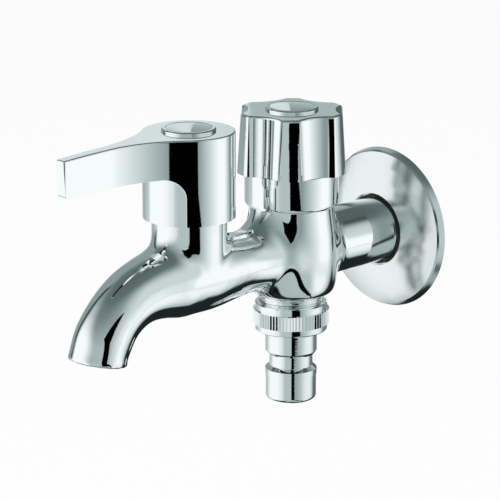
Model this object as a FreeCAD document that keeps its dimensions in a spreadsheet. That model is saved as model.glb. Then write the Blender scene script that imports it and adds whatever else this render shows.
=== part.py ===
import FreeCAD, Part
# Two-valve wall bib tap: lever valve with a spout in front, knob valve with a hose nipple behind it.
# Millimetres. The origin is the inlet axis on the wall plane. -Y is away from the wall, +Z is up.
import math
import os
import Sketcher
from FreeCAD import Placement, Rotation, Vector

doc = FreeCAD.newDocument("bib_tap")
sheet = doc.addObject("Spreadsheet::Sheet", "sizes")
label_of = {}
row_count = 0


class Size:
    """A length, angle or count: its number now, and the sheet expression that keeps it up to date."""

    def __init__(self, value, text):
        self.value = float(value)
        self.text = text

    def __add__(self, other):
        other = as_size(other)
        return Size(self.value + other.value, f"({self.text} + {other.text})")

    def __sub__(self, other):
        other = as_size(other)
        return Size(self.value - other.value, f"({self.text} - {other.text})")

    def __mul__(self, other):
        other = as_size(other)
        return Size(self.value * other.value, f"({self.text} * {other.text})")

    def __truediv__(self, other):
        other = as_size(other)
        return Size(self.value / other.value, f"({self.text} / {other.text})")

    def __neg__(self):
        return Size(-self.value, f"(-1 * {self.text})")


def as_size(value):
    return value if isinstance(value, Size) else Size(value, repr(float(value)))


def sine(angle):
    return Size(math.sin(math.radians(angle.value)), f"sin({angle.text})")


def cosine(angle):
    return Size(math.cos(math.radians(angle.value)), f"cos({angle.text})")


def size(name, value):
    """Writes one driving size to the sheet and returns it."""
    global row_count
    row_count += 1
    sheet.set(f"A{row_count}", name)
    sheet.set(f"B{row_count}", str(value))
    sheet.setAlias(f"B{row_count}", name)
    return Size(value, f"sizes.{name}")


# Inlet and body casting
inlet_thread_radius = size("inlet_thread_radius", 10.478)
inlet_thread_length = size("inlet_thread_length", 14.0)
inlet_bore_radius = size("inlet_bore_radius", 7.0)
inlet_bore_reach = size("inlet_bore_reach", 30.0)
barrel_radius = size("barrel_radius", 12.0)
rear_valve_reach = size("rear_valve_reach", 49.0)
valve_spacing = size("valve_spacing", 49.5)
rear_boss_radius = size("rear_boss_radius", 14.6)
front_boss_radius = size("front_boss_radius", 13.2)
boss_top = size("boss_top", 22.5)
rear_boss_drop = size("rear_boss_drop", 15.5)
bridge_radius = size("bridge_radius", 11.0)
bridge_flare = size("bridge_flare", 2.6)
belly_radius = size("belly_radius", 13.4)
rear_blend = size("rear_blend", 11.0)
barrel_blend = size("barrel_blend", 3.0)
front_blend = size("front_blend", 7.0)
rear_boss_edge = size("rear_boss_edge", 2.4)

# Spout
spout_start_reach = size("spout_start_reach", 8.9)
spout_lead_radius = size("spout_lead_radius", 70.0)
spout_lead_turn = size("spout_lead_turn", 9.0)
spout_nose_radius = size("spout_nose_radius", 11.5)
spout_bend_radius = size("spout_bend_radius", 27.5)
spout_turn = size("spout_turn", 79.0)
spout_waist_radius = size("spout_waist_radius", 9.9)
spout_mouth_radius = size("spout_mouth_radius", 10.6)
spout_wall = size("spout_wall", 2.4)
spout_root_radius = size("spout_root_radius", 3.8)
spout_root_drop = size("spout_root_drop", 7.2)

# Water ways
gallery_radius = size("gallery_radius", 5.5)
gallery_rise = size("gallery_rise", 3.7)
seat_drop = size("seat_drop", 2.0)
seat_hole_radius = size("seat_hole_radius", 5.5)
hose_bore_radius = size("hose_bore_radius", 6.0)

# Hose neck, union nut, washer and nipple
hose_thread_radius = size("hose_thread_radius", 11.0)
hose_neck_length = size("hose_neck_length", 9.0)
nut_gap_below_boss = size("nut_gap_below_boss", 3.3)
nut_height = size("nut_height", 10.6)
nut_ring_radius = size("nut_ring_radius", 13.1)
nut_ring_height = size("nut_ring_height", 2.8)
nut_knurl_radius = size("nut_knurl_radius", 13.9)
nut_knurl_height = size("nut_knurl_height", 5.2)
nut_knurl_depth = size("nut_knurl_depth", 0.4)
nut_knurl_count = size("nut_knurl_count", 72)
nut_mouth_radius = size("nut_mouth_radius", 11.5)
nut_mouth_depth = size("nut_mouth_depth", 1.5)
nut_thread_over = size("nut_thread_over", 0.5)
nut_chamber_radius = size("nut_chamber_radius", 10.6)
nut_lip = size("nut_lip", 1.4)
nut_edge = size("nut_edge", 0.4)
washer_radius = size("washer_radius", 10.4)
washer_thickness = size("washer_thickness", 2.0)
nipple_bore_radius = size("nipple_bore_radius", 6.2)
nipple_collar_radius = size("nipple_collar_radius", 10.3)
nipple_collar_height = size("nipple_collar_height", 1.45)
nipple_radius = size("nipple_radius", 9.4)
nipple_length = size("nipple_length", 10.5)
nipple_groove_radius = size("nipple_groove_radius", 7.9)
nipple_groove_length = size("nipple_groove_length", 4.4)
nipple_land_radius = size("nipple_land_radius", 9.4)
nipple_land_length = size("nipple_land_length", 3.4)
nipple_tip_radius = size("nipple_tip_radius", 9.2)
nipple_tip_length = size("nipple_tip_length", 9.4)
nipple_tip_edge = size("nipple_tip_edge", 1.5)
nipple_chamfer = size("nipple_chamfer", 1.2)

# Wall flange and its ring
flange_radius = size("flange_radius", 30.0)
flange_rim = size("flange_rim", 2.8)
flange_draft = size("flange_draft", 0.8)
flange_height = size("flange_height", 6.3)
flange_hole_radius = size("flange_hole_radius", 13.0)
flange_sheet = size("flange_sheet", 1.0)
flange_lip = size("flange_lip", 2.4)
flange_dome_radius = size("flange_dome_radius", 60.0)
flange_edge = size("flange_edge", 0.6)

# Headwork, the same in both valves
headwork_thread_radius = size("headwork_thread_radius", 9.9)
headwork_thread_length = size("headwork_thread_length", 10.0)
headwork_cage_radius = size("headwork_cage_radius", 8.9)
headwork_cage_wall = size("headwork_cage_wall", 1.2)
headwork_flange_radius = size("headwork_flange_radius", 12.4)
headwork_flange_height = size("headwork_flange_height", 1.2)
headwork_hex_flats = size("headwork_hex_flats", 22.0)
headwork_hex_height = size("headwork_hex_height", 4.0)
headwork_neck_radius = size("headwork_neck_radius", 7.5)
headwork_neck_length = size("headwork_neck_length", 6.0)
gasket_radius = size("gasket_radius", 12.2)
gasket_thickness = size("gasket_thickness", 1.0)
window_width = size("window_width", 9.0)
window_bottom = size("window_bottom", 3.4)
window_height = size("window_height", 4.4)
seal_height = size("seal_height", 2.0)
seal_proud = size("seal_proud", 0.5)
disc_radius = size("disc_radius", 7.6)
disc_thickness = size("disc_thickness", 3.0)
disc_port_inner = size("disc_port_inner", 1.4)
disc_port_outer = size("disc_port_outer", 5.3)
disc_port_half_angle = size("disc_port_half_angle", 38.0)
disc_notch_half_angle = size("disc_notch_half_angle", 42.0)
spindle_radius = size("spindle_radius", 4.0)
spindle_top = size("spindle_top", 44.0)
spindle_spline_length = size("spindle_spline_length", 9.2)
spindle_spline_depth = size("spindle_spline_depth", 0.35)
spindle_spline_count = size("spindle_spline_count", 20)
spindle_collar_radius = size("spindle_collar_radius", 7.2)
spindle_collar_height = size("spindle_collar_height", 2.6)
spindle_tongue_width = size("spindle_tongue_width", 3.0)
spindle_tongue_length = size("spindle_tongue_length", 9.0)
spindle_tongue_depth = size("spindle_tongue_depth", 1.6)
spindle_tap_radius = size("spindle_tap_radius", 2.0)
spindle_tap_depth = size("spindle_tap_depth", 10.5)
o_ring_section = size("o_ring_section", 0.9)
o_ring_drop = size("o_ring_drop", 3.0)
circlip_groove_depth = size("circlip_groove_depth", 0.7)
circlip_thickness = size("circlip_thickness", 0.8)
circlip_width = size("circlip_width", 2.2)
circlip_opening = size("circlip_opening", 5.0)

# Lever, knob, their screws and buttons
handle_top = size("handle_top", 52.0)
handle_edge = size("handle_edge", 0.6)
handle_roof = size("handle_roof", 8.0)
handle_stem_radius = size("handle_stem_radius", 6.5)
handle_stem_bottom = size("handle_stem_bottom", 34.8)
handle_web = size("handle_web", 2.1)
lever_hub_radius = size("lever_hub_radius", 16.2)
lever_hub_bottom = size("lever_hub_bottom", 21.5)
lever_wall = size("lever_wall", 1.8)
lever_skirt_chamfer = size("lever_skirt_chamfer", 0.8)
lever_length = size("lever_length", 57.6)
lever_flank_angle = size("lever_flank_angle", 38.5)
lever_flare_radius = size("lever_flare_radius", 46.0)
lever_blade_half = size("lever_blade_half", 2.5)
lever_blade_taper = size("lever_blade_taper", 1.0)
lever_blade_bottom = size("lever_blade_bottom", 37.7)
lever_tip_fall = size("lever_tip_fall", 1.4)
lever_arch_reach = size("lever_arch_reach", 11.5)
lever_arch_radius = size("lever_arch_radius", 7.0)
lever_arch_rise = size("lever_arch_rise", 0.9)
lever_tip_corner = size("lever_tip_corner", 1.2)
lever_tip_draft = size("lever_tip_draft", 0.6)
lever_tip_edge = size("lever_tip_edge", 0.9)
knob_bottom = size("knob_bottom", 30.1)
knob_turn = size("knob_turn", -45.0)
knob_lobe_count = 6
knob_lobe_radius = size("knob_lobe_radius", 20.5)
knob_scallop_radius = size("knob_scallop_radius", 17.2)
knob_lobe_half_angle = size("knob_lobe_half_angle", 10.5)
knob_draft = size("knob_draft", 3.2)
knob_cavity_radius = size("knob_cavity_radius", 15.0)
knob_edge = size("knob_edge", 1.0)
button_radius = size("button_radius", 9.5)
button_seat_depth = size("button_seat_depth", 2.8)
button_rim = size("button_rim", 0.4)
button_stand = size("button_stand", 1.1)
button_ring_radius = size("button_ring_radius", 8.3)
button_groove = size("button_groove", 0.3)
button_dome_rise = size("button_dome_rise", 0.9)
button_shell = size("button_shell", 1.2)
button_skirt_outer = size("button_skirt_outer", 6.9)
button_skirt_inner = size("button_skirt_inner", 6.0)
button_skirt_length = size("button_skirt_length", 2.0)
screw_pocket_radius = size("screw_pocket_radius", 7.0)
screw_radius = size("screw_radius", 1.95)
screw_length = size("screw_length", 11.0)
screw_head_radius = size("screw_head_radius", 3.6)
screw_head_height = size("screw_head_height", 2.1)
screw_cross_width = size("screw_cross_width", 0.8)
screw_cross_length = size("screw_cross_length", 4.0)
screw_cross_depth = size("screw_cross_depth", 1.2)

# Bonnet cover under the knob
cover_radius = size("cover_radius", 16.9)
cover_bottom = size("cover_bottom", 17.2)
cover_wall = size("cover_wall", 1.8)
cover_web = size("cover_web", 2.0)
cover_edge = size("cover_edge", 1.6)
cover_cup_radius = size("cover_cup_radius", 13.0)
cover_lip_radius = size("cover_lip_radius", 14.4)
cover_lip_height = size("cover_lip_height", 1.7)

# Clearances
running_gap = size("running_gap", 0.05)
face_gap = size("face_gap", 0.05)
loose_gap = size("loose_gap", 0.3)
screw_gap = size("screw_gap", 0.2)
doc.recompute()

# Levels and places that several pieces share
front_valve_reach = rear_valve_reach + valve_spacing
rear_axis = -rear_valve_reach
front_axis = -front_valve_reach
spout_start = front_axis - spout_start_reach
seat_level = -seat_drop
hex_bottom = boss_top + gasket_thickness
hex_top = hex_bottom + headwork_hex_height
neck_top = hex_top + headwork_neck_length
cage_bottom = seat_level + seal_proud
cage_bore_radius = headwork_cage_radius - headwork_cage_wall
disc_bottom = seat_level + seal_height
disc_top = disc_bottom + disc_thickness
moving_disc_bottom = disc_top + face_gap
moving_disc_top = moving_disc_bottom + disc_thickness
spindle_collar_top = moving_disc_top + spindle_collar_height
cage_roof = spindle_collar_top + face_gap
valve_bore_radius = headwork_thread_radius + running_gap
spindle_bore_radius = spindle_radius + running_gap
o_ring_groove_radius = spindle_radius - o_ring_section
o_ring_level = neck_top - o_ring_drop
circlip_groove_radius = spindle_radius - circlip_groove_depth
circlip_bottom = neck_top + face_gap
circlip_top = circlip_bottom + circlip_thickness
boss_bottom = -rear_boss_drop
neck_bottom = boss_bottom - hose_neck_length
nut_top = boss_bottom - nut_gap_below_boss
nut_bottom = nut_top - nut_height
washer_bottom = neck_bottom - washer_thickness
nipple_collar_bottom = washer_bottom - nipple_collar_height
cover_top = knob_bottom - loose_gap
pocket_floor = spindle_top + loose_gap + handle_web
button_seat = handle_top - button_seat_depth
zero = as_size(0.0)


def bind(item, name, amount):
    """Lets a property follow a size."""
    item.setExpression(name, as_size(amount).text)


def at(item, x=0.0, y=0.0, z=0.0):
    """Places an object, with each coordinate following its size."""
    for axis, amount in zip("xyz", (x, y, z)):
        bind(item, f"Placement.Base.{axis}", amount)
    return item


def new_body(label):
    body = doc.addObject("PartDesign::Body", label)
    label_of[label] = body
    body.Label = label
    return body


def new_sketch(body, name, role, offset=None):
    """A sketch on one of the body's own planes, or at an offset from it."""
    sketch = body.newObject("Sketcher::SketchObject", name)
    plane = next(f for f in body.Origin.OriginFeatures if f.Role == role)
    sketch.AttachmentSupport = [(plane, "")]
    sketch.MapMode = "FlatFace"
    if offset is not None:
        bind(sketch, "AttachmentOffset.Base.z", offset)
    return sketch


def fix_point(sketch, line, end, x, y):
    """Ties one end of a sketch line to its two coordinates."""
    for kind, amount, axis in (("DistanceX", x, -2), ("DistanceY", y, -1)):
        if abs(amount.value) < 1e-9:
            sketch.addConstraint(Sketcher.Constraint("PointOnObject", line, end, axis))
            continue
        index = sketch.addConstraint(Sketcher.Constraint(kind, -1, 1, line, end, amount.value))
        sketch.setExpression(f"Constraints[{index}]", amount.text)


def near_end(sketch, index, corner):
    """Which end of a sketch line lies on a corner: 1 its start, 2 its end."""
    shape = sketch.Geometry[index]
    return 1 if (shape.StartPoint - corner).Length < (shape.EndPoint - corner).Length else 2


def outline(sketch, points, bulges=None):
    """Draws a closed outline through points (x, y). bulges maps the number of a side to its arc radius and to
    the side on which the arc lies: 1 is left of the run from point to point, -1 right of it."""
    bulges = bulges or {}
    base = sketch.GeometryCount
    points = [(as_size(x), as_size(y)) for x, y in points]
    corners = [Vector(x.value, y.value, 0) for x, y in points]
    for index, start in enumerate(corners):
        end = corners[(index + 1) % len(corners)]
        shape = Part.LineSegment(start, end)
        if index in bulges:
            radius, side = bulges[index]
            run = end - start
            across = Vector(-run.y, run.x, 0).normalize() * side
            rise = radius.value - math.sqrt(max(radius.value ** 2 - (run.Length / 2) ** 2, 0.0))
            middle = (start + end) * 0.5 + across * rise
            shape = Part.Arc(end, middle, start) if side > 0 else Part.Arc(start, middle, end)
        sketch.addGeometry(shape, False)
    for index, (x, y) in enumerate(points):
        line = base + index
        before = base + (index - 1) % len(points)
        first = near_end(sketch, line, corners[index])
        last = near_end(sketch, before, corners[index])
        fix_point(sketch, line, first, x, y)
        sketch.addConstraint(Sketcher.Constraint("Coincident", before, last, line, first))
    for index, (radius, side) in bulges.items():
        number = sketch.addConstraint(Sketcher.Constraint("Radius", base + index, radius.value))
        sketch.setExpression(f"Constraints[{number}]", radius.text)


def add_turned(body, name, points, bulges=None, cut=False):
    """Adds or cuts a shape turned about the Z axis, from a half section of (radius, height) points."""
    sketch = new_sketch(body, name + "_section", "XZ_Plane")
    outline(sketch, points, bulges)
    turn = body.newObject("PartDesign::Groove" if cut else "PartDesign::Revolution", name)
    turn.Profile = sketch
    turn.ReferenceAxis = (sketch, ["V_Axis"])
    turn.Angle = 360
    return turn


def turned(label, y, points, bulges=None):
    """A body turned about an upright axis at y."""
    body = new_body(label)
    add_turned(body, label + "_turned", points, bulges)
    return at(body, 0.0, y, 0.0)


def add_pad(body, sketch, name, height):
    pad = body.newObject("PartDesign::Pad", name)
    pad.Profile = sketch
    bind(pad, "Length", height)
    return pad


def add_cut(body, sketch, name, depth=None, upward=False):
    """Cuts a sketch to a depth, or right through on both sides of its plane."""
    cut = body.newObject("PartDesign::Pocket", name)
    cut.Profile = sketch
    if depth is None:
        cut.Type = "ThroughAll"
        cut.Midplane = True
    else:
        bind(cut, "Length", depth)
        cut.Reversed = upward
    return cut


def add_grooves(body, name, bottom, height, radius, depth, count):
    """Cuts equal V grooves, upright, around a cylinder."""
    sketch = new_sketch(body, name + "_profile", "XY_Plane", bottom)
    overcut = as_size(0.3)
    half = radius * sine(as_size(180.0) / count) * 0.92 * (depth + overcut) / depth
    outline(sketch, [(radius + overcut, -half), (radius + overcut, half), (radius - depth, zero)])
    groove = add_cut(body, sketch, name + "_groove", height, True)
    pattern = body.newObject("PartDesign::PolarPattern", name)
    pattern.Originals = [groove]
    pattern.Axis = (sketch, ["N_Axis"])
    pattern.Angle = 360
    body.Tip = pattern
    bind(pattern, "Occurrences", count)
    return pattern


def soften(body, name, amount, chosen, kind="Fillet"):
    """Rounds or chamfers the edges of the body's last feature that the test picks."""
    doc.recompute()
    base = body.Tip
    picked = [f"Edge{n}" for n, edge in enumerate(base.Shape.Edges, 1) if chosen(edge)]
    feature = body.newObject("PartDesign::" + kind, name)
    feature.Base = (base, picked)
    bind(feature, "Radius" if kind == "Fillet" else "Size", amount)
    return feature


def on_cylinder(edge, y, radius):
    """Whether an edge lies on an upright cylinder."""
    return all(abs(math.hypot(p.x, p.y - y) - radius) < 0.02 for p in edge.discretize(9))


def is_upright(edge):
    box = edge.BoundBox
    return box.XLength < 0.01 and box.YLength < 0.01


def is_level(edge, z=None):
    box = edge.BoundBox
    return box.ZLength < 0.01 and (z is None or abs(box.ZMin - z) < 0.01)


def cylinder(name, radius, height, y=0.0, z=0.0):
    """An upright cylinder, its foot at height z."""
    shape = doc.addObject("Part::Cylinder", name)
    bind(shape, "Radius", radius)
    bind(shape, "Height", height)
    return at(shape, 0.0, y, z)


def level_cylinder(name, radius, length, y=0.0, z=0.0):
    """A cylinder along +Y from y, its axis at height z."""
    shape = cylinder(name, radius, length)
    shape.Placement = Placement(Vector(), Rotation(Vector(1, 0, 0), -90))
    return at(shape, 0.0, y, z)


def fused(name, pieces):
    whole = doc.addObject("Part::MultiFuse", name)
    whole.Shapes = pieces
    return whole


def torus(label, radius, section, y, z):
    ring = doc.addObject("Part::Torus", label)
    label_of[label] = ring
    bind(ring, "Radius1", radius)
    bind(ring, "Radius2", section / 2.0)
    return at(ring, 0.0, y, z)


def rings(name, stations):
    """A smooth solid through circles. A station is (y, z, radius, angle): the angle is how far the tube has
    turned down from the level. A fifth value makes it an oval, that much wider than its radius on each side."""
    circles = []
    for number, (y, z, radius, angle, *flare) in enumerate(stations):
        circle = doc.addObject("Part::Ellipse" if flare else "Part::Circle", f"{name}_ring_{number}")
        if flare:
            circle.MajorRadius = radius.value + flare[0].value
            bind(circle, "MajorRadius", radius + flare[0])
            bind(circle, "MinorRadius", radius)
        else:
            bind(circle, "Radius", radius)
        circle.Placement = Placement(Vector(), Rotation(Vector(1, 0, 0), 90))
        bind(circle, "Placement.Rotation.Angle", as_size(90.0) + angle)
        circles.append(at(circle, 0.0, y, z))
    loft = doc.addObject("Part::Loft", name)
    loft.Sections = circles
    loft.Solid = True
    loft.Ruled = False
    return loft


def ease(share):
    """Share of a smooth rise from 0 to 1."""
    share = min(max(share, 0.0), 1.0)
    return share * share * (3 - 2 * share)


def mix(first, last, share):
    return first + (last - first) * share


def bent_stations(y, z, bend_radius, first_angle, last_angle, radii):
    """Stations of a tube that bends down at equal steps, one for each radius."""
    stations = []
    for number, radius in enumerate(radii):
        angle = mix(first_angle, last_angle, number / (len(radii) - 1))
        stations.append((y - bend_radius * (sine(angle) - sine(first_angle)),
                         z - bend_radius * (cosine(first_angle) - cosine(angle)), radius, angle))
    return stations


# Outer skin of the casting: bridge, belly and spout in one smooth run, with a barrel and two upright bosses
swell = [ease((share - 0.42) / 0.53) for share in (0.0, 0.13, 0.26, 0.39, 0.52, 0.66, 0.79, 0.92, 1.05)]
level_run = [(mix(rear_axis, spout_start, number / 9), zero, mix(bridge_radius, belly_radius, share), zero)
             for number, share in enumerate(swell)]
lead = bent_stations(spout_start, zero, spout_lead_radius, zero, spout_lead_turn,
                     [belly_radius, mix(belly_radius, spout_nose_radius, 0.5), spout_nose_radius])
bend_radii = [spout_waist_radius + (spout_nose_radius - spout_waist_radius) * (1 - number / 5) ** 3
              + (spout_mouth_radius - spout_waist_radius) * (number / 5) ** 3 for number in range(6)]
bend = bent_stations(lead[-1][0], lead[-1][1], spout_bend_radius, spout_lead_turn, spout_turn, bend_radii)
run = rings("casting_run", [(*station, bridge_flare * ease(1 - number / 4.8))
                            for number, station in enumerate(level_run + lead + bend[1:])])
barrel = level_cylinder("casting_barrel", barrel_radius, rear_valve_reach, rear_axis)
rear_boss = cylinder("casting_rear_boss", rear_boss_radius, boss_top + rear_boss_drop, rear_axis, boss_bottom)
front_boss = cylinder("casting_front_boss", front_boss_radius, boss_top, front_axis)
skin = fused("casting_skin", [run, barrel, rear_boss, front_boss])
doc.recompute()

# The rounded foot of the rear boss, and blends where the bosses meet the run
casting = doc.addObject("PartDesign::Body", "casting")
casting.BaseFeature = skin
soften(casting, "casting_boss_foot", rear_boss_edge, lambda edge: (
    on_cylinder(edge, rear_axis.value, rear_boss_radius.value) and is_level(edge, boss_bottom.value)))
for name, amount, side in (("casting_rear_blend", rear_blend, -1), ("casting_barrel_blend", barrel_blend, 1)):
    soften(casting, name, amount, lambda edge: (
        on_cylinder(edge, rear_axis.value, rear_boss_radius.value) and not is_upright(edge) and not is_level(edge)
        and (edge.BoundBox.Center.y - rear_axis.value) * side > 0))
soften(casting, "casting_front_blend", front_blend, lambda edge: (
    on_cylinder(edge, front_axis.value, front_boss_radius.value) and not is_upright(edge) and not is_level(edge)))

# Threaded inlet and hose neck, added to the casting
inlet = level_cylinder("inlet_thread", inlet_thread_radius, inlet_thread_length + 2.0, as_size(-2.0))
neck = cylinder("hose_neck", hose_thread_radius, hose_neck_length + 3.0, rear_axis, neck_bottom)
solid = fused("casting_solid", [casting, inlet, neck])

# Water ways: inlet bore, gallery past both valves, two valve bores, hose outlet and spout core
inlet_bore = level_cylinder("inlet_bore", inlet_bore_radius, inlet_bore_reach + inlet_thread_length + 1.0,
                            -inlet_bore_reach)
gallery = level_cylinder("gallery", gallery_radius, front_valve_reach - inlet_bore_reach + 3.0, front_axis,
                         gallery_rise)
rear_bore = cylinder("rear_valve_bore", valve_bore_radius, boss_top - seat_level + 1.0, rear_axis, seat_level)
front_bore = cylinder("front_valve_bore", valve_bore_radius, boss_top - seat_level + 1.0, front_axis, seat_level)
rear_seat = cylinder("rear_seat_hole", seat_hole_radius, seat_level - boss_bottom, rear_axis, boss_bottom)
hose_bore = cylinder("hose_bore", hose_bore_radius, -neck_bottom - seat_drop - 4.0 + 1.0, rear_axis,
                     neck_bottom - 1.0)
root_floor = -spout_root_drop - spout_root_radius - 0.1
front_seat = cylinder("front_seat_hole", seat_hole_radius, seat_level - root_floor, front_axis, root_floor)
core_run = [(mix(front_axis, spout_start, number / 2), -spout_root_drop, spout_root_radius, zero)
            for number in range(2)]
core_lead = [(y, z - spout_root_drop * drop, mix(spout_root_radius, radius - spout_wall, grow), angle)
             for (y, z, radius, angle), drop, grow in zip(lead, (1.0, 0.78, 0.45), (0.0, 0.14, 0.42))]
core_bend = [(y, z - spout_root_drop * drop, mix(spout_root_radius, radius - spout_wall, grow), angle)
             for (y, z, radius, angle), drop, grow in zip(bend[1:], (0.16, 0.03, 0.0, 0.0, 0.0),
                                                          (0.8, 0.97, 1.0, 1.0, 1.0))]
core = rings("spout_core", core_run + core_lead + core_bend)
cores = fused("water_ways", [inlet_bore, gallery, rear_bore, front_bore, rear_seat, hose_bore, front_seat, core])
tap_body = doc.addObject("Part::Cut", "tap_body")
tap_body.Base = solid
tap_body.Tool = cores
label_of["tap_body"] = tap_body

# Wall flange: a shallow dished cover with a rolled lip around the barrel
flange = new_body("wall_flange")
add_turned(flange, "wall_flange_dish", [
    (flange_radius - flange_sheet, zero),
    (flange_radius, zero),
    (flange_radius - flange_draft, flange_rim - flange_edge),
    (flange_radius - flange_draft - flange_edge, flange_rim),
    (flange_hole_radius + flange_edge, flange_height),
    (flange_hole_radius, flange_height - flange_edge),
    (flange_hole_radius, flange_height - flange_lip),
    (flange_hole_radius + flange_sheet, flange_height - flange_lip),
    (flange_hole_radius + flange_sheet, flange_height - flange_sheet - 0.2),
    (flange_radius - flange_draft - flange_sheet - 0.3, flange_rim - flange_sheet),
], {3: (flange_dome_radius, -1), 8: (flange_dome_radius - flange_sheet, 1)})
flange.Placement = Placement(Vector(), Rotation(Vector(1, 0, 0), 90))

# Rubber ring that centres the flange on the barrel
ring_section = (flange_hole_radius - barrel_radius) * 0.98
ring = torus("flange_o_ring", (flange_hole_radius + barrel_radius) / 2.0, ring_section, zero, zero)
ring.Placement = Placement(Vector(), Rotation(Vector(1, 0, 0), 90))
at(ring, 0.0, -(flange_height - flange_lip * 0.5), 0.0)

# Union nut: two plain rings with a finely ribbed band between, and an inward lip that holds the nipple
band_top = nut_top - nut_ring_height
band_bottom = band_top - nut_knurl_height
nut = turned("hose_nut", rear_axis, [
    (nut_mouth_radius, nut_top),
    (nut_ring_radius - nut_edge, nut_top),
    (nut_ring_radius, nut_top - nut_edge),
    (nut_ring_radius, band_top),
    (nut_knurl_radius, band_top),
    (nut_knurl_radius, band_bottom),
    (nut_ring_radius, band_bottom),
    (nut_ring_radius, nut_bottom + nut_edge),
    (nut_ring_radius - nut_edge, nut_bottom),
    (nipple_radius + loose_gap, nut_bottom),
    (nipple_radius + loose_gap, nut_bottom + nut_lip),
    (nut_chamber_radius, nut_bottom + nut_lip),
    (nut_chamber_radius, neck_bottom - nut_thread_over),
    (hose_thread_radius + running_gap, neck_bottom - nut_thread_over),
    (hose_thread_radius + running_gap, nut_top - nut_mouth_depth),
    (nut_mouth_radius, nut_top - nut_mouth_depth + 0.4),
])
add_grooves(nut, "hose_nut_ribs", band_bottom, nut_knurl_height, nut_knurl_radius, nut_knurl_depth,
            nut_knurl_count)

# Flat washer between the neck and the nipple
turned("hose_washer", rear_axis, [
    (nipple_bore_radius, washer_bottom),
    (washer_radius, washer_bottom),
    (washer_radius, neck_bottom),
    (nipple_bore_radius, neck_bottom),
])

# Hose nipple: a collar under the nut, a body with a snap groove and a straight tip
groove_top = nipple_collar_bottom - nipple_length
groove_bottom = groove_top - nipple_groove_length
land_bottom = groove_bottom - nipple_land_length
nipple_bottom = land_bottom - nipple_tip_length
turned("hose_nipple", rear_axis, [
    (nipple_bore_radius, washer_bottom),
    (nipple_collar_radius, washer_bottom),
    (nipple_collar_radius, nipple_collar_bottom),
    (nipple_radius, nipple_collar_bottom),
    (nipple_radius, groove_top + nipple_chamfer),
    (nipple_radius - nipple_chamfer * 0.7, groove_top),
    (nipple_groove_radius, groove_top),
    (nipple_groove_radius, groove_bottom),
    (nipple_land_radius, groove_bottom - nipple_chamfer),
    (nipple_land_radius, land_bottom),
    (nipple_tip_radius, land_bottom),
    (nipple_tip_radius, nipple_bottom + nipple_tip_edge),
    (nipple_tip_radius - nipple_tip_edge, nipple_bottom),
    (nipple_bore_radius, nipple_bottom),
], {11: (nipple_tip_edge, 1)})

# Bonnet cover: a cup that hides the rear headwork, clamped on its hexagon, with a lip inside the knob
turned("bonnet_cover", rear_axis, [
    (cover_radius - cover_wall, cover_bottom),
    (cover_radius - cover_edge, cover_bottom),
    (cover_radius, cover_bottom + cover_edge),
    (cover_radius, cover_top),
    (cover_lip_radius, cover_top),
    (cover_lip_radius, cover_top + cover_lip_height),
    (cover_cup_radius, cover_top + cover_lip_height),
    (cover_cup_radius, hex_top + cover_web),
    (headwork_neck_radius + running_gap, hex_top + cover_web),
    (headwork_neck_radius + running_gap, hex_top),
    (cover_radius - cover_wall, hex_top),
], {1: (cover_edge, -1)})


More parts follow.
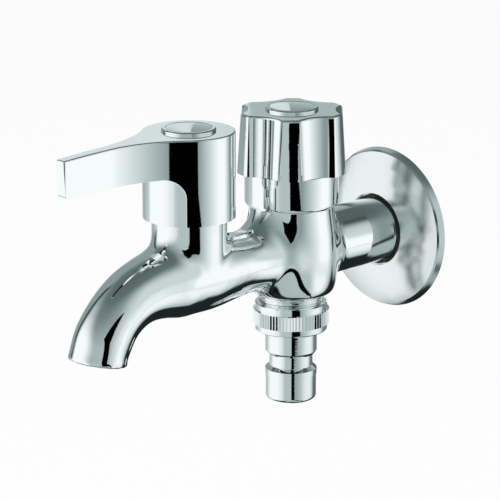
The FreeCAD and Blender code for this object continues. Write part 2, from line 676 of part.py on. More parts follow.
def add_headwork(side, y):
    """One ceramic-disc headwork: body, gasket, seal, two discs, spindle, ring and circlip."""
    # Threaded body with a hexagon above, and below it a cage with two side windows around the discs
    body = turned(side + "_headwork_body", y, [
        (cage_bore_radius, cage_bottom),
        (headwork_cage_radius, cage_bottom),
        (headwork_cage_radius, hex_bottom - headwork_thread_length),
        (headwork_thread_radius, hex_bottom - headwork_thread_length),
        (headwork_thread_radius, hex_bottom),
        (headwork_flange_radius, hex_bottom),
        (headwork_flange_radius, hex_bottom + headwork_flange_height),
        (headwork_neck_radius, hex_bottom + headwork_flange_height),
        (headwork_neck_radius, neck_top),
        (spindle_bore_radius, neck_top),
        (spindle_bore_radius, cage_roof),
        (cage_bore_radius, cage_roof),
    ])
    corner = headwork_hex_flats / 2.0 / cosine(as_size(30.0))
    sketch = new_sketch(body, side + "_hexagon", "XY_Plane", hex_bottom)
    outline(sketch, [(corner * cosine(as_size(60.0 * n)), corner * sine(as_size(60.0 * n))) for n in range(6)])
    outline(sketch, [(headwork_neck_radius * 0.9 * cosine(as_size(60.0 * n)),
                      headwork_neck_radius * 0.9 * sine(as_size(60.0 * n))) for n in range(6)])
    add_pad(body, sketch, side + "_hexagon_pad", headwork_hex_height)
    sketch = new_sketch(body, side + "_window", "XZ_Plane")
    half = window_width / 2.0
    outline(sketch, [(-half, window_bottom), (half, window_bottom), (half, window_bottom + window_height),
                     (-half, window_bottom + window_height)])
    add_cut(body, sketch, side + "_window_cut")

    # Fibre gasket under the hexagon
    turned(side + "_headwork_gasket", y, [
        (valve_bore_radius, boss_top), (gasket_radius, boss_top), (gasket_radius, hex_bottom),
        (valve_bore_radius, hex_bottom)])

    # Rubber seal between the seat and the lower disc
    turned(side + "_seat_seal", y, [
        (seat_hole_radius, seat_level), (cage_bore_radius - running_gap, seat_level),
        (cage_bore_radius - running_gap, disc_bottom), (seat_hole_radius, disc_bottom)])

    # Lower ceramic disc with two opposite ports
    disc = turned(side + "_fixed_disc", y, [
        (zero, disc_bottom), (disc_radius, disc_bottom), (disc_radius, disc_top), (zero, disc_top)])
    sketch = new_sketch(disc, side + "_ports", "XY_Plane", disc_bottom)
    for middle in (0.0, 180.0):
        first = as_size(middle) - disc_port_half_angle
        last = as_size(middle) + disc_port_half_angle
        outline(sketch, [(disc_port_inner * cosine(first), disc_port_inner * sine(first)),
                         (disc_port_outer * cosine(first), disc_port_outer * sine(first)),
                         (disc_port_outer * cosine(last), disc_port_outer * sine(last)),
                         (disc_port_inner * cosine(last), disc_port_inner * sine(last))],
                {1: (disc_port_outer, -1), 3: (disc_port_inner, 1)})
    add_cut(disc, sketch, side + "_ports_cut")

    # Upper ceramic disc: closed over the ports, open in two side notches, slotted for the spindle tongue
    disc = turned(side + "_moving_disc", y, [
        (zero, moving_disc_bottom), (disc_radius, moving_disc_bottom), (disc_radius, moving_disc_top),
        (zero, moving_disc_top)])
    sketch = new_sketch(disc, side + "_notches", "XY_Plane", moving_disc_bottom)
    reach = disc_radius + 1.0
    for middle in (90.0, 270.0):
        first = as_size(middle) - disc_notch_half_angle
        last = as_size(middle) + disc_notch_half_angle
        outline(sketch, [(disc_port_inner * 2.0 * cosine(first), disc_port_inner * 2.0 * sine(first)),
                         (reach * cosine(first), reach * sine(first)),
                         (reach * cosine(last), reach * sine(last)),
                         (disc_port_inner * 2.0 * cosine(last), disc_port_inner * 2.0 * sine(last))],
                {1: (reach, -1), 3: (disc_port_inner * 2.0, 1)})
    add_cut(disc, sketch, side + "_notches_cut")
    sketch = new_sketch(disc, side + "_slot", "XY_Plane", moving_disc_top - spindle_tongue_depth - face_gap)
    half_width = spindle_tongue_width / 2.0 + running_gap
    half_length = spindle_tongue_length / 2.0 + running_gap
    outline(sketch, [(-half_length, -half_width), (half_length, -half_width), (half_length, half_width),
                     (-half_length, half_width)])
    add_cut(disc, sketch, side + "_slot_cut", spindle_tongue_depth + 1.0, True)

    # Spindle: collar and tongue below, ring and circlip grooves, splined and tapped end above
    half_ring = o_ring_section / 2.0 + face_gap
    spindle = turned(side + "_spindle", y, [
        (zero, moving_disc_top),
        (spindle_collar_radius, moving_disc_top),
        (spindle_collar_radius, spindle_collar_top),
        (spindle_radius, spindle_collar_top),
        (spindle_radius, o_ring_level - half_ring),
        (o_ring_groove_radius, o_ring_level - half_ring),
        (o_ring_groove_radius, o_ring_level + half_ring),
        (spindle_radius, o_ring_level + half_ring),
        (spindle_radius, circlip_bottom - face_gap),
        (circlip_groove_radius, circlip_bottom - face_gap),
        (circlip_groove_radius, circlip_top + face_gap),
        (spindle_radius, circlip_top + face_gap),
        (spindle_radius, spindle_top),
        (spindle_tap_radius, spindle_top),
        (spindle_tap_radius, spindle_top - spindle_tap_depth),
        (zero, spindle_top - spindle_tap_depth - spindle_tap_radius * 0.6),
    ])
    sketch = new_sketch(spindle, side + "_tongue", "XY_Plane", moving_disc_top - spindle_tongue_depth)
    half_width = spindle_tongue_width / 2.0
    half_length = spindle_tongue_length / 2.0
    outline(sketch, [(-half_length, -half_width), (half_length, -half_width), (half_length, half_width),
                     (-half_length, half_width)])
    add_pad(spindle, sketch, side + "_tongue_pad", spindle_tongue_depth + 1.0)
    add_grooves(spindle, side + "_spline", spindle_top - spindle_spline_length, spindle_spline_length + 1.0,
                spindle_radius, spindle_spline_depth, spindle_spline_count)

    # Rubber ring in the spindle groove
    torus(side + "_spindle_o_ring", o_ring_groove_radius + o_ring_section / 2.0, o_ring_section, y, o_ring_level)

    # Open circlip that keeps the spindle down
    clip = turned(side + "_circlip", y, [
        (circlip_groove_radius, circlip_bottom),
        (circlip_groove_radius + circlip_width, circlip_bottom),
        (circlip_groove_radius + circlip_width, circlip_top),
        (circlip_groove_radius, circlip_top),
    ])
    sketch = new_sketch(clip, side + "_opening", "XY_Plane", circlip_bottom)
    half = circlip_opening / 2.0
    outline(sketch, [(zero, -half), (circlip_groove_radius + circlip_width + 1.0, -half),
                     (circlip_groove_radius + circlip_width + 1.0, half), (zero, half)])
    add_cut(clip, sketch, side + "_opening_cut")


add_headwork("rear", rear_axis)
add_headwork("front", front_axis)


def handle_hollow(body, name, bottom, cavity_radius, mouth_radius):
    """Cuts the inside of a handle: skirt, spindle socket, screw hole, screw pocket and button seat."""
    roof = handle_top - handle_roof
    chamfer = mouth_radius - cavity_radius
    add_turned(body, name, [
        (zero, bottom - 1.0),
        (mouth_radius + 1.0, bottom - 1.0),
        (cavity_radius, bottom + chamfer),
        (cavity_radius, roof),
        (handle_stem_radius, roof),
        (handle_stem_radius, handle_stem_bottom),
        (spindle_radius + running_gap, handle_stem_bottom),
        (spindle_radius + running_gap, spindle_top + loose_gap),
        (screw_radius + screw_gap, spindle_top + loose_gap),
        (screw_radius + screw_gap, pocket_floor),
        (screw_pocket_radius, pocket_floor),
        (screw_pocket_radius, button_seat),
        (button_radius + running_gap, button_seat),
        (button_radius + running_gap, handle_top + 1.0),
        (zero, handle_top + 1.0),
    ], cut=True)


# Lever: plan outline of the flared arm, cut to its side view, then the round hub and the hollow inside
lever = new_body("lever_handle")
sketch = new_sketch(lever, "lever_plan", "XY_Plane", lever_hub_bottom)
flank_x = lever_hub_radius * cosine(lever_flank_angle)
flank_y = lever_hub_radius * sine(lever_flank_angle)
flare_x = lever_blade_half + lever_flare_radius * (cosine(lever_blade_taper) - cosine(lever_flank_angle))
flare_y = flank_y + (flank_x - flare_x) * cosine(lever_flank_angle) / sine(lever_flank_angle)
blade_y = flare_y + lever_flare_radius * (sine(lever_flank_angle) - sine(lever_blade_taper))
tip_half = lever_blade_half - (lever_length - blade_y) * sine(lever_blade_taper) / cosine(lever_blade_taper)
outline(sketch, [
    (-flank_x, -flank_y), (-flare_x, -flare_y), (-lever_blade_half, -blade_y), (-tip_half, -lever_length),
    (tip_half, -lever_length), (lever_blade_half, -blade_y), (flare_x, -flare_y), (flank_x, -flank_y),
], {1: (lever_flare_radius, 1), 5: (lever_flare_radius, 1)})
add_pad(lever, sketch, "lever_arm", handle_top - lever_hub_bottom)
soften(lever, "lever_tip_rounds", lever_tip_edge, lambda edge: (
    is_upright(edge) and abs(edge.BoundBox.YMin + lever_length.value) < 0.01))
sketch = new_sketch(lever, "lever_underside", "YZ_Plane")
arch_y = lever_arch_reach + lever_arch_radius
arch_z = lever_blade_bottom + lever_arch_rise
outline(sketch, [
    (-lever_arch_reach, lever_hub_bottom - 1.0),
    (-lever_arch_reach, arch_z - lever_arch_radius),
    (-arch_y, arch_z),
    (-(lever_length - lever_tip_draft - lever_tip_corner), lever_blade_bottom),
    (-(lever_length - lever_tip_draft), lever_blade_bottom + lever_tip_corner),
    (-lever_length, handle_top + 1.0),
    (-(lever_length + 1.0), handle_top + 1.0),
    (-(lever_length + 1.0), lever_hub_bottom - 1.0),
], {1: (lever_arch_radius, -1), 3: (lever_tip_corner, 1)})
add_cut(lever, sketch, "lever_underside_cut")
sketch = new_sketch(lever, "lever_top_fall", "YZ_Plane")
fall_run = lever_length - lever_hub_radius
fall_arc = (fall_run * fall_run + lever_tip_fall * lever_tip_fall) / (lever_tip_fall * 2.0)
outline(sketch, [
    (-lever_hub_radius, handle_top),
    (-lever_length, handle_top - lever_tip_fall),
    (-(lever_length + 1.0), handle_top - lever_tip_fall),
    (-(lever_length + 1.0), handle_top + 1.0),
    (-lever_hub_radius, handle_top + 1.0),
], {0: (fall_arc, -1)})
add_cut(lever, sketch, "lever_top_fall_cut")
add_turned(lever, "lever_hub", [
    (zero, lever_hub_bottom), (lever_hub_radius, lever_hub_bottom), (lever_hub_radius, handle_top),
    (zero, handle_top)])
handle_hollow(lever, "lever_hollow", lever_hub_bottom, lever_hub_radius - lever_wall,
              lever_hub_radius - lever_wall + lever_skirt_chamfer)
at(lever, 0.0, front_axis, 0.0)

# Knob: six lobes with scallops between, drafted to the top, hollow inside
knob = new_body("knob")
sketch = new_sketch(knob, "knob_plan", "XY_Plane", knob_bottom)
pitch = 360.0 / knob_lobe_count
half_scallop = as_size(pitch / 2) - knob_lobe_half_angle
scallop_half = knob_lobe_radius * sine(half_scallop)
scallop_dip = knob_lobe_radius * cosine(half_scallop) - knob_scallop_radius
scallop_arc = (scallop_half * scallop_half + scallop_dip * scallop_dip) / (scallop_dip * 2.0)
points = []
bulges = {}
for number in range(knob_lobe_count):
    for side in (-1, 1):
        angle = knob_turn + pitch * number + knob_lobe_half_angle * side
        points.append((knob_lobe_radius * cosine(angle), knob_lobe_radius * sine(angle)))
    bulges[2 * number] = (knob_lobe_radius, -1)
    bulges[2 * number + 1] = (scallop_arc, 1)
outline(sketch, points, bulges)
pad = add_pad(knob, sketch, "knob_lobes", handle_top - knob_bottom)
bind(pad, "TaperAngle", -knob_draft)
handle_hollow(knob, "knob_hollow", knob_bottom, knob_cavity_radius, knob_cavity_radius)
at(knob, 0.0, rear_axis, 0.0)


def add_fixings(label, y):
    """The screw and the domed button of one handle."""
    # Pan-head screw with a cross recess
    head_top = pocket_floor + screw_head_height
    screw = turned(label + "_screw", y, [
        (zero, pocket_floor - screw_length),
        (screw_radius - 0.5, pocket_floor - screw_length),
        (screw_radius, pocket_floor - screw_length + 0.5),
        (screw_radius, pocket_floor),
        (screw_head_radius, pocket_floor),
        (screw_head_radius, head_top - 0.8),
        (screw_head_radius - 1.0, head_top),
        (zero, head_top),
    ], {5: (as_size(1.0), -1)})
    sketch = new_sketch(screw, label + "_cross", "XY_Plane", head_top - screw_cross_depth)
    arm = screw_cross_length / 2.0
    slot = screw_cross_width / 2.0
    outline(sketch, [(arm, -slot), (arm, slot), (slot, slot), (slot, arm), (-slot, arm), (-slot, slot),
                     (-arm, slot), (-arm, -slot), (-slot, -slot), (-slot, -arm), (slot, -arm), (slot, -slot)])
    add_cut(screw, sketch, label + "_cross_cut", screw_cross_depth + 1.0, True)

    # Button: a proud rim, a fine groove and a low dome, with a snap skirt below
    rim_top = handle_top + button_stand
    dome_foot = button_ring_radius - button_groove
    dome_arc = (dome_foot * dome_foot + button_dome_rise * button_dome_rise) / (button_dome_rise * 2.0)
    turned(label + "_button", y, [
        (zero, button_seat + button_shell),
        (button_skirt_inner, button_seat + button_shell),
        (button_skirt_inner, button_seat - button_skirt_length),
        (button_skirt_outer, button_seat - button_skirt_length),
        (button_skirt_outer, button_seat),
        (button_radius, button_seat),
        (button_radius, rim_top - button_rim),
        (button_radius - button_rim, rim_top),
        (button_ring_radius, rim_top),
        (button_ring_radius, rim_top - button_groove),
        (dome_foot, rim_top - button_groove),
        (dome_foot, rim_top),
        (zero, rim_top + button_dome_rise),
    ], {11: (dome_arc, -1)})


add_fixings("lever", front_axis)
add_fixings("knob", rear_axis)

# Softened edges of the two handles
soften(lever, "lever_top_round", handle_edge, lambda edge: (
    edge.BoundBox.ZMin > handle_top.value - lever_tip_fall.value - 0.2
    and max(edge.BoundBox.XMax, -edge.BoundBox.YMin) > button_radius.value + 1.0
    and (edge.BoundBox.YLength > 0.01 or edge.BoundBox.YMin < 1.0 - lever_length.value)))
soften(knob, "knob_top_round", knob_edge, lambda edge: (
    is_level(edge, handle_top.value) and edge.BoundBox.DiagonalLength < 2 * button_radius.value))
doc.recompute()

# Check every object, then write one file for each node
for item in doc.Objects:
    if "Invalid" in item.State or "Error" in item.State:
        raise RuntimeError(f"{item.Name} did not build: {item.State}")
os.makedirs("parts", exist_ok=True)
for label, item in label_of.items():
    shape = item.Shape
    item.Label = label
    if shape.isNull() or not shape.isValid() or len(shape.Solids) != 1:
        raise RuntimeError(f"{label} is not one valid solid")
    shape.exportStep(f"parts/{label}.step")
    box = shape.BoundBox
    print(f"{label:24s} volume {shape.Volume:10.1f}  faces {len(shape.Faces):4d}  z {box.ZMin:7.2f} {box.ZMax:7.2f}")
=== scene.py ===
import math

import bpy
import numpy as np
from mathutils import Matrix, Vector


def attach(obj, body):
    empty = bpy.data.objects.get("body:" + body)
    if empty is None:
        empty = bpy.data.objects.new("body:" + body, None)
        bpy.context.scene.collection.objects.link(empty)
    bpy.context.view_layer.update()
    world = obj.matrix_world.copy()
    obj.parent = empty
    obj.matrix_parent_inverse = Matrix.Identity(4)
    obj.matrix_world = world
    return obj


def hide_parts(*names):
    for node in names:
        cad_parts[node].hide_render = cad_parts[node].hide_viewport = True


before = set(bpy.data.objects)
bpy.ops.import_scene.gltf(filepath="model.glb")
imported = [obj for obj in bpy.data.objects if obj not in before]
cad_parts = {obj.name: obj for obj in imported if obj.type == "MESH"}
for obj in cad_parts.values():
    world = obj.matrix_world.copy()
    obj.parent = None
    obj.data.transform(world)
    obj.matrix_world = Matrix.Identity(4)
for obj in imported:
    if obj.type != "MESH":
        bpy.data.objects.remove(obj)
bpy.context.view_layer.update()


# Body casting: barrel, bridge, two valve bosses and the swan-necked spout, sand cast in brass in one piece,
# ground, polished and chromed. The plate is a mirror with the faint ripple that the polishing wheel leaves.
class Wire:
    """A node's output. Arithmetic on it adds Math nodes, and node() adds any other node."""

    def __init__(self, tree, socket=None):
        self.tree = tree
        self.socket = socket

    def node(self, kind, settings=None, inputs=None, output=0):
        """Adds a node: its settings first, then the value or wire of each named input."""
        made = self.tree.nodes.new(kind)
        for name, value in (settings or {}).items():
            if name == "stops":
                ramp = made.color_ramp
                while len(ramp.elements) < len(value):
                    ramp.elements.new(0.5)
                for element, (place, colour) in zip(ramp.elements, value):
                    element.position = place
                    element.color = (*colour, 1.0)
            else:
                setattr(made, name, value)
        for name, value in (inputs or {}).items():
            if isinstance(value, Wire):
                self.tree.links.new(value.socket, made.inputs[name])
            else:
                made.inputs[name].default_value = value
        return Wire(self.tree, made.outputs[output] if made.outputs else None)

    def math(self, operation, *values):
        return self.node("ShaderNodeMath", {"operation": operation}, dict(enumerate(values)))

    def __add__(self, other):
        return self.math("ADD", self, other)

    __radd__ = __add__

    def __sub__(self, other):
        return self.math("SUBTRACT", self, other)

    def __rsub__(self, other):
        return self.math("SUBTRACT", other, self)

    def __mul__(self, other):
        return self.math("MULTIPLY", self, other)

    __rmul__ = __mul__

    def rise(self, first, last):
        """A smooth step from 0 at first to 1 at last."""
        return self.node("ShaderNodeMapRange", {"interpolation_type": "SMOOTHSTEP"},
                         {"Value": self, "From Min": first, "From Max": last})


def new_material(name):
    """An empty material, and a bare wire to hang its first node on."""
    material = bpy.data.materials.new(name)
    material.use_nodes = True
    tree = material.node_tree
    tree.nodes.clear()
    return material, Wire(tree)


def new_finish(name):
    """An empty material, and the wire of the piece's own coordinates in metres."""
    material, start = new_material(name)
    return material, start.node("ShaderNodeTexCoord", output="Object")


def grain(place, scale, detail, roughness=0.5):
    """Noise all over the piece, finer as the scale grows and sharper with more detail."""
    return place.node("ShaderNodeTexNoise", {},
                      {"Vector": place, "Scale": scale, "Detail": detail, "Roughness": roughness})


def relief(height, strength, distance):
    """The surface direction that a height gives."""
    return height.node("ShaderNodeBump", {}, {"Strength": strength, "Distance": distance, "Height": height})


def close_finish(place, **inputs):
    """Ends a finish with one Principled shader."""
    named = {name.replace("_", " "): value for name, value in inputs.items()}
    shader = place.node("ShaderNodeBsdfPrincipled", {}, named)
    place.node("ShaderNodeOutputMaterial", {}, {"Surface": shader})


chrome, place = new_finish("polished_chrome")
ripple = grain(place, 55.0, 1.0, 0.4)
haze = grain(place, 210.0, 4.0, 0.6)
close_finish(place, Base_Color=(0.955, 0.965, 0.96, 1.0), Metallic=1.0, Roughness=haze * 0.03 + 0.025,
             Normal=relief(ripple, 0.05, 0.0004))

# The casting's skin swells round the rear boss into a belly and runs into the barrel and the bridge in wide soft
# blends. They are worked on an even mesh of the casting: its walls are pushed out, then rubbed down as by the
# polisher. Each pair of sizes gives where a zone begins to fade in or out, and where it has done so.
rear_axis = -0.049
front_axis = -0.0985
merge_distance = 0.000002
mesh_size = 0.0006
collar_swell = 0.0005
belly_swell = 0.0020
belly_top = 0.021
belly_bottom = 0.0155
smallest_radius = 0.001
swell_skin = (0.0118, 0.0130)
swell_edge = (0.0165, 0.0270)
swell_flank = (0.009, 0.014)
rear_skin = (0.0125, 0.0135)
front_skin = (0.0128, 0.0136)
rub_edge = (0.024, 0.032)
rub_foot = (-0.0150, -0.0130)
rub_top = (0.0170, 0.0205)
waterway_wall = (0.0085, 0.0095)
mouth_reach = 0.015
mouth_edge = (-0.0240, -0.0210)
mouth_rub = 0.25
spout_root = (0.0140, 0.0160)
spout_end = (-0.0240, -0.0200)
spout_rub = 0.35
least_rub = 0.01
rub_rounds = 60
settle_rounds = 4
half_way = 0.5
crease = math.radians(45)
casting = bpy.data.objects.new("body_casting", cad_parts["tap_body"].data.copy())
bpy.context.collection.objects.link(casting)
bpy.ops.object.select_all(action="DESELECT")
casting.select_set(True)
bpy.context.view_layer.objects.active = casting
bpy.ops.object.mode_set(mode="EDIT")
bpy.ops.mesh.select_all(action="SELECT")
bpy.ops.mesh.remove_doubles(threshold=merge_distance)
bpy.ops.object.mode_set(mode="OBJECT")
even = casting.modifiers.new("even", "REMESH")
even.mode = "VOXEL"
even.voxel_size = mesh_size
bpy.ops.object.modifier_apply(modifier="even")


def eased(value, edge):
    """A smooth step over an array, from 0 at the edge's first size to 1 at its last."""
    share = np.clip((value - edge[0]) / (edge[1] - edge[0]), 0.0, 1.0)
    return share * share * (3.0 - 2.0 * share)


points = np.empty(len(casting.data.vertices) * 3)
casting.data.vertices.foreach_get("co", points)
points = points.reshape(-1, 3)
across, along, up = points[:, 0], points[:, 1] - rear_axis, points[:, 2]
from_rear = np.hypot(across, along)
swell = np.where(up > 0.0,
                 collar_swell + belly_swell * np.cos(np.clip(up / belly_top, 0.0, 1.0) * math.pi / 2.0) ** 2,
                 (collar_swell + belly_swell) * np.sqrt(np.clip(1.0 - (up / belly_bottom) ** 2, 0.0, 1.0)))
swell *= eased(from_rear, swell_skin) * (1.0 - eased(from_rear, swell_edge))
swell /= np.maximum(from_rear, smallest_radius)
points[:, 0] += swell * across * (1.0 - eased(np.abs(along), swell_flank))
points[:, 1] += swell * along
casting.data.vertices.foreach_set("co", points.ravel())

from_front = np.hypot(across, points[:, 1] - front_axis)
past_front = front_axis - points[:, 1]
rubbed = eased(from_rear, rear_skin) * (1.0 - eased(from_rear, rub_edge)) * eased(np.hypot(across, up), waterway_wall)
rubbed = np.maximum(rubbed, eased(from_front, front_skin) * (1.0 - eased(from_front, rub_edge)))
rubbed *= eased(up, rub_foot) * (1.0 - eased(up, rub_top))
rubbed = np.maximum(rubbed, mouth_rub * (1.0 - eased(up, mouth_edge)) * (past_front > mouth_reach))
rubbed = np.maximum(rubbed, spout_rub * eased(past_front, spout_root) * eased(up, spout_end))
worn = casting.vertex_groups.new(name="rubbed")
for number in np.nonzero(rubbed > least_rub)[0]:
    worn.add([int(number)], float(rubbed[number]), "REPLACE")
rub = casting.modifiers.new("rub", "SMOOTH")
rub.vertex_group = "rubbed"
rub.factor = half_way
rub.iterations = rub_rounds
bpy.ops.object.modifier_apply(modifier="rub")
settle = casting.modifiers.new("settle", "SMOOTH")
settle.factor = half_way
settle.iterations = settle_rounds
bpy.ops.object.modifier_apply(modifier="settle")
bpy.ops.object.shade_smooth_by_angle(angle=crease)
casting.data.materials.clear()
casting.data.materials.append(chrome)
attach(casting, "tap")
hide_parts("tap_body")


# Threads of the casting, cut with a die and chromed with it: a fine one on the hose neck, whose first turns show
# above the union nut, and the half-inch pipe thread of the inlet behind the flange.
def thread(name, root, crest, pitch, turns, start_point, tilt):
    """Thread teeth: a three-sided section screwed up into a helix, capped, then stood where it belongs."""
    half_width = pitch * 0.46
    tooth = half_width / math.sin(math.radians(60))
    full_height = tooth * 1.5
    bpy.ops.object.select_all(action="DESELECT")
    bpy.ops.mesh.primitive_circle_add(vertices=3, radius=tooth, location=(root + tooth * 0.5, 0.0, 0.0),
                                      rotation=(math.pi / 2, math.pi / 2, 0.0))
    bpy.ops.object.transform_apply(location=True, rotation=True, scale=True)
    piece = bpy.context.object
    piece.name = name
    bpy.ops.object.mode_set(mode="EDIT")
    bpy.ops.mesh.select_all(action="SELECT")
    bpy.ops.transform.resize(value=((crest - root) / full_height, 1.0, 1.0), center_override=(root, 0.0, 0.0))
    bpy.ops.object.mode_set(mode="OBJECT")
    coil = piece.modifiers.new("coil", "SCREW")
    coil.axis = "Z"
    coil.screw_offset = pitch
    coil.iterations = turns
    coil.steps = coil.render_steps = steps_per_turn
    bpy.ops.object.modifier_apply(modifier="coil")
    bpy.ops.object.mode_set(mode="EDIT")
    bpy.ops.mesh.select_all(action="SELECT")
    bpy.ops.mesh.fill_holes(sides=3)
    bpy.ops.mesh.select_all(action="SELECT")
    bpy.ops.mesh.normals_make_consistent(inside=False)
    bpy.ops.object.mode_set(mode="OBJECT")
    piece.rotation_euler = tilt
    piece.location = start_point
    bpy.ops.object.transform_apply(location=True, rotation=True, scale=True)
    piece.data.materials.append(chrome)
    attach(piece, "tap")


steps_per_turn = 90
upright = (0.0, 0.0, 0.0)
towards_wall = (-math.pi / 2, 0.0, 0.0)
thread("neck_thread", root=0.0109, crest=0.01128, pitch=0.001, turns=4,
       start_point=(0.0, rear_axis, -0.01975), tilt=upright)
thread("inlet_thread_teeth", root=0.0104, crest=0.01074, pitch=0.001814, turns=6,
       start_point=(0.0, 0.0012, 0.0), tilt=towards_wall)

# Wall flange: pressed from thin brass sheet and plated without the casting's long polish, so it mirrors softly
# and its dome shows faint waves. It slides on the barrel over a ring of black moulded rubber.
soft_chrome, place = new_finish("soft_chrome")
wave = grain(place, 90.0, 2.0)
cloud = grain(place, 40.0, 3.0, 0.6)
close_finish(place, Base_Color=(0.86, 0.885, 0.88, 1.0), Metallic=1.0, Roughness=cloud * 0.16 + 0.10,
             Normal=relief(wave, 0.22, 0.0006))


def shades(wire, *stops):
    """Colours along a wire: pairs of a value and the colour there."""
    return wire.node("ShaderNodeValToRGB", {"stops": stops}, {"Fac": wire})


rubber, place = new_finish("black_rubber")
bloom = grain(place, 300.0, 4.0)
close_finish(place, Base_Color=shades(bloom, (0.35, (0.012, 0.012, 0.013)), (0.75, (0.045, 0.045, 0.047))),
             Roughness=bloom * 0.3 + 0.45, Normal=relief(bloom, 0.3, 0.0002))


def dress(finish, *nodes):
    """Gives CAD nodes their finish."""
    for node in nodes:
        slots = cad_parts[node].data.materials
        slots.clear()
        slots.append(finish)


dress(soft_chrome, "wall_flange")
dress(rubber, "flange_o_ring")

# Rear bonnet cover: a plain brass cup that hides the rear headwork's hexagon, turned, polished and chromed. It is
# pushed down over the hexagon onto the boss, and the knob's skirt turns just above it.
dress(chrome, "bonnet_cover")

# Lever and knob: zinc die castings, polished and chromed. Each is pushed on its splined spindle and held by a
# steel screw, and a chromed button snaps in over the screw.
dress(chrome, "lever_handle", "knob", "lever_button", "knob_button")

# Handle screws and circlips: plain stainless steel. The screws are rolled and hold the handles down on their
# spindles, and the circlips are stamped from strip and keep the spindles in their headworks.
steel, place = new_finish("stainless_steel")
scratch = grain(place, 700.0, 3.0)
close_finish(place, Base_Color=shades(scratch, (0.3, (0.50, 0.50, 0.51)), (0.7, (0.64, 0.64, 0.645))), Metallic=1.0,
             Roughness=scratch * 0.2 + 0.22, Normal=relief(scratch, 0.15, 0.0001))
dress(steel, "lever_screw", "knob_screw", "rear_circlip", "front_circlip")


# Union nut and nipple: turned from brass bar and chromed. The tool leaves fine rings round the upright axis,
# which the plating doesn't quite fill. The nut holds the nipple's collar against a black rubber washer.
def tool_rings(place, scale, detail):
    """Noise that changes only with height."""
    height = place.node("ShaderNodeSeparateXYZ", {}, {"Vector": place}, "Z")
    return place.node("ShaderNodeTexNoise", {"noise_dimensions": "1D"},
                      {"W": height * scale, "Scale": 1.0, "Detail": detail})


turned_chrome, place = new_finish("turned_chrome")
haze = grain(place, 260.0, 4.0, 0.6)
close_finish(place, Base_Color=(0.93, 0.95, 0.945, 1.0), Metallic=1.0, Roughness=haze * 0.04 + 0.03,
             Normal=relief(tool_rings(place, 1800.0, 2.0), 0.10, 0.0001))
dress(turned_chrome, "hose_nut", "hose_nipple")
dress(rubber, "hose_washer")

# Headworks: two turned brass cartridges under the handles, unplated, each with a red fibre gasket on the boss,
# a rubber seat seal below two lapped white alumina discs, and a spindle with a rubber ring and a circlip.
brass, place = new_finish("turned_brass")
tarnish = grain(place, 120.0, 4.0, 0.6)
close_finish(place, Base_Color=shades(tarnish, (0.3, (0.50, 0.33, 0.12)), (0.7, (0.74, 0.55, 0.24))), Metallic=1.0,
             Roughness=tarnish * 0.2 + 0.18, Normal=relief(tool_rings(place, 2500.0, 1.0), 0.35, 0.0001))

fibre, place = new_finish("red_fibre")
strand = grain(place, 900.0, 5.0, 0.7)
close_finish(place, Base_Color=shades(strand, (0.3, (0.30, 0.055, 0.035)), (0.7, (0.48, 0.12, 0.08))),
             Roughness=strand * 0.2 + 0.7, Normal=relief(strand, 0.5, 0.0002))

ceramic, place = new_finish("white_alumina")
speck = grain(place, 1500.0, 3.0)
close_finish(place, Base_Color=shades(speck, (0.3, (0.76, 0.75, 0.71)), (0.6, (0.85, 0.84, 0.81))),
             Roughness=speck * 0.15 + 0.12)

for valve in ("rear", "front"):
    dress(brass, f"{valve}_headwork_body", f"{valve}_spindle")
    dress(fibre, f"{valve}_headwork_gasket")
    dress(rubber, f"{valve}_seat_seal", f"{valve}_spindle_o_ring")
    dress(ceramic, f"{valve}_fixed_disc", f"{valve}_moving_disc")

# Floor: a plain pale sheet well below the tap, which hangs as it does on its wall. It keeps the tap's shadow, and
# stays out of the chrome, which mirrors the studio's own pale table.
floor_level = -0.17
floor_width = 24.0
own_glow = 0.9
bpy.ops.object.select_all(action="DESELECT")
bpy.ops.mesh.primitive_plane_add(size=floor_width, location=(0.0, 0.0, floor_level))
floor = bpy.context.object
floor.name = "floor"
floor_finish, start = new_material("pale_floor")
seen_straight = start.node("ShaderNodeLightPath", output="Is Camera Ray")
plain = start.node("ShaderNodeBsdfDiffuse", {}, {"Color": (0.9, 0.9, 0.9, 1.0)})
glow = start.node("ShaderNodeEmission", {}, {"Color": (1.0, 1.0, 1.0, 1.0), "Strength": 1.0})
mixed = start.node("ShaderNodeMixShader", {}, {0: seen_straight * own_glow, 1: plain, 2: glow})
start.node("ShaderNodeOutputMaterial", {}, {"Surface": mixed})
floor.data.materials.append(floor_finish)
floor.visible_glossy = False

# Lamp: one broad round soft box overhead, in front of the tap and a little to its right. It lights what isn't
# metal and casts the soft shadow on the floor.
lamp_aim = Vector((0.0, -0.07, 0.0))
bpy.ops.object.light_add(type="AREA", location=(0.3, -0.5, 1.3))
lamp = bpy.context.object
lamp.data.shape = "DISK"
lamp.data.size = 1.4
lamp.data.energy = 12.0
lamp.rotation_euler = (lamp_aim - lamp.location).to_track_quat("-Z", "Y").to_euler()
lamp.visible_glossy = False

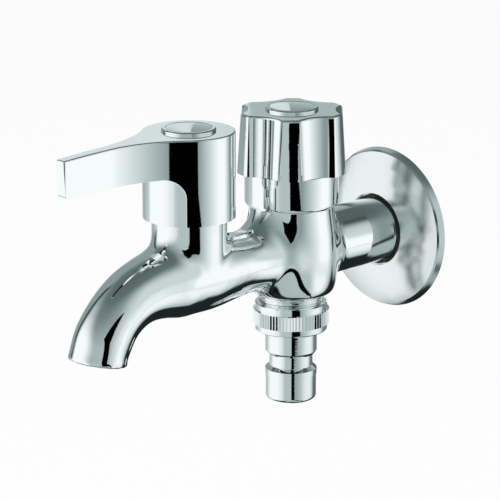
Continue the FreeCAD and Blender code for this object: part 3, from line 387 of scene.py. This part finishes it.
# Black card: it stands between the tap and the photographer, and gives each chromed wall its dark stripe. Each
# row of its outline gives a height, and its left and right edges there as the photographer sees them.
sight = math.radians(46.685)
card_distance = 0.274
card_outline = [
    (0.098, -0.006, 0.050),
    (0.070, -0.050, 0.042),
    (0.050, -0.080, 0.034),
    (0.030, -0.062, 0.028),
    (0.012, -0.060, 0.014),
    (-0.019, -0.057, 0.017),
    (-0.041, -0.052, 0.058),
    (-0.050, -0.048, 0.068),
    (-0.114, 0.026, 0.100),
]
card_finish, start = new_material("black_card")
unlit = start.node("ShaderNodeEmission", {}, {"Color": (0.0, 0.0, 0.0, 1.0), "Strength": 0.0})
start.node("ShaderNodeOutputMaterial", {}, {"Surface": unlit})
bpy.ops.object.select_all(action="DESELECT")
bpy.ops.mesh.primitive_grid_add(x_subdivisions=1, y_subdivisions=len(card_outline) - 1, size=1.0)
card = bpy.context.object
card.name = "black_card"
rows = sorted(card.data.vertices, key=lambda vertex: (-round(vertex.co.y, 4), vertex.co.x))
for number, (height, left, right) in enumerate(card_outline):
    for vertex, edge in zip(rows[number * 2:number * 2 + 2], (left, right)):
        vertex.co = (card_distance * math.sin(sight) + edge * math.cos(sight),
                     -card_distance * math.cos(sight) + edge * math.sin(sight), height)
card.data.materials.append(card_finish)
card.visible_camera = False
card.visible_diffuse = False
card.visible_shadow = False

# Camera: a long lens from the front right and above, as the photograph was taken. It looks at the middle of the
# tap, between the two valves.
camera_aim = Vector((-0.00975, -0.0603, 0.0001))
bpy.ops.object.camera_add(location=(0.69207, -0.72201, 0.26389))
camera = bpy.context.object
camera.rotation_euler = (camera_aim - camera.location).to_track_quat("-Z", "Y").to_euler()
camera.data.lens = 199.6
bpy.context.scene.camera = camera

# Light around: white to the eye, and to the metal a room of white soft boxes, a pale table, a dim ceiling and
# black boards. Its angles are turns from the photographer's side of the tap and lifts from the level, in degrees.
world = bpy.data.worlds.new("studio")
world.use_nodes = True
world.node_tree.nodes.clear()
bpy.context.scene.world = world
start = Wire(world.node_tree)
aim = start.node("ShaderNodeTexCoord", output="Generated")
ahead = start.node("ShaderNodeVectorMath", {"operation": "DOT_PRODUCT"},
                   {0: aim, 1: (math.sin(sight), -math.cos(sight), 0.0)}, "Value")
aside = start.node("ShaderNodeVectorMath", {"operation": "DOT_PRODUCT"},
                   {0: aim, 1: (math.cos(sight), math.sin(sight), 0.0)}, "Value")
upward = start.node("ShaderNodeSeparateXYZ", {}, {"Vector": aim}, "Z")
turn = start.math("ARCTAN2", aside, ahead) * (180.0 / math.pi)
lift = start.math("ARCSINE", upward) * (180.0 / math.pi)


def patch(left, right, bottom, top):
    """A soft-edged patch of the room: each edge is a pair of angles between which it fades."""
    return turn.rise(*left) * (1 - turn.rise(*right)) * lift.rise(*bottom) * (1 - lift.rise(*top))


def tint(level):
    """The colour of a level: slightly green, the more so the dimmer it is."""
    return (level * (0.70 + 0.26 * level), level, level)


def paint(under, share, light):
    """Lays a light over what is there: a level of brightness, or a wire of it."""
    red, green, blue = tint(light)
    over = (red, green, blue, 1.0)
    if isinstance(light, Wire):
        over = start.node("ShaderNodeCombineXYZ", {}, {"X": red, "Y": green, "Z": blue})
    return start.node("ShaderNodeMix", {"data_type": "RGBA"}, {0: share, 6: under, 7: over}, 2)


def between(wire, low, high):
    """Holds a wire between two values."""
    return start.math("MINIMUM", start.math("MAXIMUM", wire, low), high)


def distance(across, along):
    """How far out a place is from an oval's middle, where its half width and half height both count as 1."""
    return start.math("SQRT", across * across + along * along)


# The table below, the walls, then the ceiling: a place from straight down at 0 to straight up at 1, and its level.
room_levels = [(0.0, 0.008), (0.10, 0.01), (0.13, 0.48), (0.39, 0.54), (0.50, 0.53), (0.57, 0.47), (0.667, 0.36),
               (0.75, 0.26), (0.833, 0.16), (1.0, 0.12)]
room = shades(lift * (1 / 180.0) + 0.5, *((place, tint(level)) for place, level in room_levels))

# The left soft box: an upright oval, with a flat board beside it that ends in a hard edge. Dark cloth lies under
# it, and a grey wall with one dark upright line stands left of it.
room = paint(room, patch((-75, -60), (-35.6, -35), (-50, -40), (-4, 8)), 0.67)
tall_half = start.math("MAXIMUM", lift * (1 / 46.0), lift * (-1 / 85.0))
oval = distance((turn + 85) * (1 / 52.0), tall_half)
room = paint(room, 1 - oval.rise(0.38, 1.22), 1.0)
room = paint(room, patch((-140, -124), (-34, -24), (-90, -89), (-52, -38)), 0.02)
room = paint(room, patch((-184, -178), (-116, -110), (-20, -8), (40, 56)), 0.33)
room = paint(room, patch((-131, -127), (-122, -118), (-8, 2), (42, 54)), 0.05)

# The right soft box: it brightens away from the card, and above the tap it is dimmer and ends sooner. A second
# oval box shines up from the table under it.
near_level = 0.32
gain_per_degree = 0.0125
above_level = 0.68
right_light = between((turn - 25) * gain_per_degree + near_level, near_level, 1.0)
room = paint(room, patch((12, 15), (97, 118), (-24, -14), (2, 22)), right_light)
room = paint(room, patch((12, 15), (84, 112), (-2, 14), (26, 60)), start.math("MINIMUM", right_light, above_level))
oval = distance((turn - 80) * (1 / 30.0), (lift + 18) * (1 / 38.0))
room = paint(room, (1 - oval.rise(0.35, 1.15)) * (1 - lift.rise(-24, -14)), 0.95)

# Behind the tap on both sides: pale just behind it on the left, and dark on the right with two greyer places.
room = paint(room, patch((-184, -178), (-166, -156), (-50, -38), (-8, 4)), 0.88)
room = paint(room, patch((-184, -178), (-176, -164), (-4, 4), (42, 56)), 0.75)
far_right = (turn - lift * 0.5).rise(122, 134) * (1 - turn.rise(176, 184))
room = paint(room, far_right * (1 - lift.rise(-22, -10)), 0.018)
room = paint(room, patch((92, 112), (164, 174), (26, 42), (66, 80)), 0.085)
room = paint(room, patch((113, 124), (160, 172), (-18, -10), (48, 62)), 0.12)

# The table's far edge: one black line that bows down to the right and thins out there.
bow_end = 92.0
bow_left = between(bow_end - turn, 0.0, bow_end) * (1 / bow_end)
bow = lift + 60 - start.math("POWER", bow_left, 1.3) * 47
half_width = 5.5 - turn.rise(42, 80) * 3
off_bow = start.math("DIVIDE", start.math("ABSOLUTE", bow), half_width)
room = paint(room, (1 - off_bow.rise(0.85, 1.15)) * turn.rise(0, 3) * (1 - turn.rise(90, 110)), 0.0)

# A dark board low behind the tap, which streaks the domes of the two buttons.
straight_behind = turn.rise(166, 172) + (1 - turn.rise(-172, -166))
room = paint(room, straight_behind * lift.rise(-17, -14) * (1 - lift.rise(-5, -1)), 0.04)

soft_fill = 0.62
straight = start.node("ShaderNodeLightPath", output="Is Camera Ray")
passed = start.node("ShaderNodeLightPath", output="Is Transmission Ray")
mirrored = start.node("ShaderNodeLightPath", output="Is Glossy Ray")
seen = start.node("ShaderNodeMix", {"data_type": "RGBA"},
                  {0: mirrored, 6: (soft_fill, soft_fill, soft_fill, 1.0), 7: room}, 2)
seen = start.node("ShaderNodeMix", {"data_type": "RGBA"},
                  {0: start.math("MAXIMUM", straight, passed), 6: seen, 7: (1.0, 1.0, 1.0, 1.0)}, 2)
glow = start.node("ShaderNodeBackground", {}, {"Color": seen, "Strength": 1.0})
start.node("ShaderNodeOutputWorld", {}, {"Surface": glow})
bpy.context.scene.view_settings.view_transform = "Standard"
